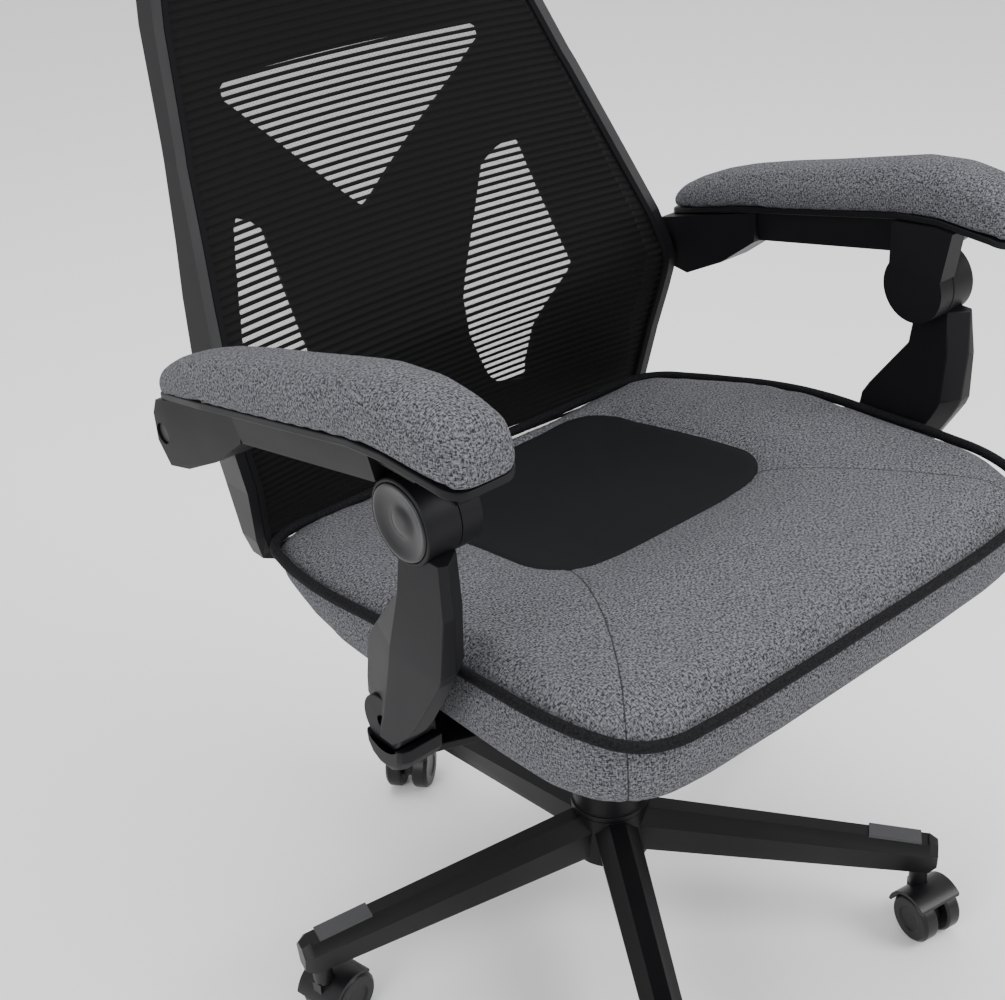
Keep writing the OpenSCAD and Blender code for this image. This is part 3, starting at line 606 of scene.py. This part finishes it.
def makeSeat():
    seat = copyOf("seat_cushion", "seatCushion")
    puff(seat, seatCushion["voxel"], seatCushion["swell"])
    co, normal = places(seat), normalsOf(seat)
    top = np.clip((normal[:, 2] - 0.25) / 0.4, 0, 1)
    side = panelDistance(co[:, 0], co[:, 1])
    side = np.where(normal[:, 2] > 0.2, side, 0.05)
    mirrored = np.abs(co[:, 0])
    seam, along = seamDistance(mirrored, co[:, 1], seatSeam())
    corner = np.array(seatCushion["seamTo"])
    onTop = (along > 0) & (along < 1.02) & (normal[:, 2] > 0.2)
    nearCorner = np.hypot(mirrored - corner[0], co[:, 1] - corner[1]) < 0.06
    down = (normal[:, 2] <= 0.35) & (co[:, 1] < -0.2) & nearCorner
    onSeam = np.where(onTop | down, 1.0, 0.0)
    depth = seatCushion["groove"]
    push = -depth * bell(side, 0.0035) * top - 0.6 * depth * bell(seam, 0.003) * onSeam
    push += 0.0012 * (1 - bell(side, 0.012)) * (side > 0) * top
    setPlaces(seat, co + normal * push[:, None])
    setAttribute(seat, "panelSide", side)
    setAttribute(seat, "seamSide", seam)
    setAttribute(seat, "onSeam", onSeam)
    boxUv(seat)
    smooth(seat, 180)
    finishPiece(seat, seatFabric, "seat", ["seat_cushion", "seat_panel"])
    return seat


seat = makeSeat()
print("seat cushion made,", len(seat.data.vertices), "points")

seatPiping = {
    "radius": 0.0044,
    # half of the seat's plan at the piping, from the front's middle to the rear's
    "plan": [(0.0, -0.297), (0.09, -0.297), (0.165, -0.295), (0.205, -0.290), (0.229, -0.277),
             (0.245, -0.257), (0.255, -0.225), (0.2585, -0.17), (0.2585, -0.10), (0.2585, -0.03),
             (0.2565, 0.03), (0.2495, 0.08), (0.2395, 0.125), (0.226, 0.16), (0.205, 0.175),
             (0.15, 0.178), (0.08, 0.178), (0.0, 0.178)],
    "heights": [(-0.30, 0.479), (-0.285, 0.483), (-0.255, 0.492), (-0.215, 0.495), (-0.13, 0.491),
                (-0.03, 0.484), (0.0, 0.480), (0.045, 0.472), (0.10, 0.461), (0.171, 0.449),
                (0.19, 0.446)]}


def makePiping():
    half = seatPiping["plan"]
    loop = half + [(-x, y) for x, y in half[-2:0:-1]]
    ys, zs = zip(*seatPiping["heights"])
    curve = bpy.data.curves.new("seatPiping", "CURVE")
    curve.dimensions = "3D"
    spline = curve.splines.new("BEZIER")
    spline.bezier_points.add(len(loop) - 1)
    for point, (x, y) in zip(spline.bezier_points, loop):
        point.co = (x, y, float(np.interp(y, ys, zs)))
        point.handle_left_type = point.handle_right_type = "AUTO"
    spline.use_cyclic_u = True
    spline.resolution_u = 8
    curve.bevel_depth = seatPiping["radius"]
    curve.bevel_resolution = 4
    piping = bpy.data.objects.new("seatPiping", curve)
    scene.collection.objects.link(piping)
    only(piping)
    bpy.ops.object.convert(target="MESH")
    piping = bpy.context.object
    boxUv(piping)
    smooth(piping, 180)
    return finishPiece(piping, pipingCord, "seat", ["seat_piping"])


makePiping()
print("piping made")

armPad = {"voxel": 0.0045, "swell": 0.003}
for side in ("right", "left"):
    pad = copyOf(f"arm_pad_{side}", f"armPad{side.title()}")
    puff(pad, armPad["voxel"], armPad["swell"])
    boxUv(pad)
    smooth(pad, 180)
    finishPiece(pad, greyFabric, f"arm_{side}", [f"arm_pad_{side}"])
print("arm pads made")

headrestPad = {"voxel": 0.005, "swell": 0.004}
pad = copyOf("headrest_pad", "headrestPad")
puff(pad, headrestPad["voxel"], headrestPad["swell"])
boxUv(pad)
smooth(pad, 180)
finishPiece(pad, greyFabric, "headrest", ["headrest_pad"])
print("headrest pad made")


# the rim's half outline: half width, height, front edge's place, depth
rimPoints = [(0.231, 0.446, 0.182, 0.022), (0.238, 0.500, 0.171, 0.034), (0.247, 0.540, 0.164, 0.033),
             (0.251, 0.560, 0.161, 0.034), (0.252, 0.572, 0.160, 0.035), (0.251, 0.586, 0.163, 0.036),
             (0.245, 0.620, 0.176, 0.037), (0.2355, 0.660, 0.198, 0.033), (0.2255, 0.700, 0.2195, 0.027),
             (0.2115, 0.757, 0.251, 0.020), (0.208, 0.768, 0.257, 0.021), (0.187, 0.850, 0.299, 0.024),
             (0.176, 0.890, 0.315, 0.024), (0.150, 0.965, 0.327, 0.022), (0.112, 1.045, 0.337, 0.020)]
rimFoot = [(0.205, 0.413, 0.192, 0.014), (0.224, 0.424, 0.188, 0.016)]


def makeBackMesh():
    # one sheet, held by the rim on all sides and ribbed across
    table = np.array(rimFoot + rimPoints)
    low, high = 0.418, 1.047
    rows = int((high - low) / backCloth["ribPitch"] * backCloth["rowsPerRib"])
    columns = backCloth["columns"]
    bpy.ops.object.select_all(action="DESELECT")
    bpy.ops.mesh.primitive_grid_add(x_subdivisions=columns, y_subdivisions=rows, size=2)
    sheet = bpy.context.object
    sheet.name = sheet.data.name = "backMesh"
    co = places(sheet)
    u, v = co[:, 0], (co[:, 1] + 1) / 2
    z = low + v * (high - low)
    inset = 0.0095
    width = np.interp(z, table[:, 1], table[:, 0]) - inset
    front = np.interp(z, table[:, 1], table[:, 2])
    share = np.interp(z, [0.419, 0.572, 0.757, 0.890, 1.046], [0.7, 1.0, 1.0, 0.4, 0.2])
    y = front + 0.0035 + 0.020 * share * (1 - u ** 2)
    grid = np.linspace(low, high, 400)
    arc = np.concatenate([[0], np.cumsum(np.sqrt(1 + np.interp(grid[1:], table[:, 1],
                          np.gradient(table[:, 2], table[:, 1])) ** 2) * np.diff(grid))])
    length = np.interp(z, grid, arc)
    turn = length / backCloth["ribPitch"] - backCloth["ribShare"] / 2
    y += -backCloth["ribDepth"] * np.cos(2 * np.pi * turn)
    setPlaces(sheet, np.stack([u * width, y, z], 1))
    layer = sheet.data.uv_layers.active or sheet.data.uv_layers.new(name="UVMap")
    index = np.empty(len(sheet.data.loops), np.int64)
    sheet.data.loops.foreach_get("vertex_index", index)
    uv = np.stack([(u * width)[index], length[index]], 1)
    layer.data.foreach_set("uv", uv.ravel())
    only(sheet)
    bpy.ops.object.mode_set(mode="EDIT")
    bpy.ops.mesh.select_all(action="SELECT")
    bpy.ops.mesh.normals_make_consistent(inside=False)
    bpy.ops.object.mode_set(mode="OBJECT")
    smooth(sheet, 180)
    finishPiece(sheet, meshCloth, "back", ["back_mesh"])
    return sheet


makeBackMesh()
print("back mesh made")


floorSize = 12
bpy.ops.object.select_all(action="DESELECT")
bpy.ops.mesh.primitive_plane_add(size=floorSize, location=(0, 0, 0))
floor = bpy.context.object
floor.name = "floor"
floorMaterial, _, floorShader = newMaterial("paleFloor")
floorShader.inputs["Base Color"].default_value = (0.9, 0.9, 0.9, 1)
floorShader.inputs["Roughness"].default_value = 0.9
floor.data.materials.append(floorMaterial)

world = bpy.data.worlds.new("studio")
scene.world = world
world.use_nodes = True
world.node_tree.nodes["Background"].inputs["Color"].default_value = (1, 1, 1, 1)
world.node_tree.nodes["Background"].inputs["Strength"].default_value = 1.0

lamps = {
    # name: (place, power, size)
    "keyLight": ((1.6, -2.4, 2.6), 90, 1.6),
    "sideLight": ((-2.6, -0.6, 1.7), 40, 1.4),
    "topLight": ((0.2, 0.6, 3.0), 50, 1.8),
}
for name, (place, power, size) in lamps.items():
    light = bpy.data.lights.new(name, "AREA")
    light.energy = power
    light.size = size
    lamp = bpy.data.objects.new(name, light)
    lamp.location = place
    lamp.rotation_mode = "QUATERNION"
    lamp.rotation_quaternion = (Vector((0, 0, 0.5)) - Vector(place)).to_track_quat("-Z", "Y")
    scene.collection.objects.link(lamp)

cameraPlan = {"azimuth": -44.3554, "elevation": 30.551, "roll": -0.5491, "distance": 1.4028,
              "target": (0.0359, -0.0425, 0.4672), "focal": 1632.82, "centre": (664.5, 501.5)}


def makeCamera():
    width, height = 1005, 1000
    a, e, r = (math.radians(cameraPlan[k]) for k in ("azimuth", "elevation", "roll"))
    back = Vector((math.sin(a) * math.cos(e), -math.cos(a) * math.cos(e), math.sin(e)))
    right = Vector((math.cos(a), math.sin(a), 0))
    up = back.cross(right)
    right, up = (math.cos(r) * right + math.sin(r) * up, -math.sin(r) * right + math.cos(r) * up)
    data = bpy.data.cameras.new("camera")
    data.sensor_width = 36
    data.lens = cameraPlan["focal"] * 36 / width
    data.shift_x = -(cameraPlan["centre"][0] - width / 2) / width
    data.shift_y = (cameraPlan["centre"][1] - height / 2) / width
    data.clip_start, data.clip_end = 0.05, 50
    camera = bpy.data.objects.new("camera", data)
    turn = Matrix((right, up, back)).transposed()
    eye = Vector(cameraPlan["target"]) + back * cameraPlan["distance"]
    camera.matrix_world = Matrix.Translation(eye) @ turn.to_4x4()
    scene.collection.objects.link(camera)
    scene.camera = camera


makeCamera()
print("camera set")
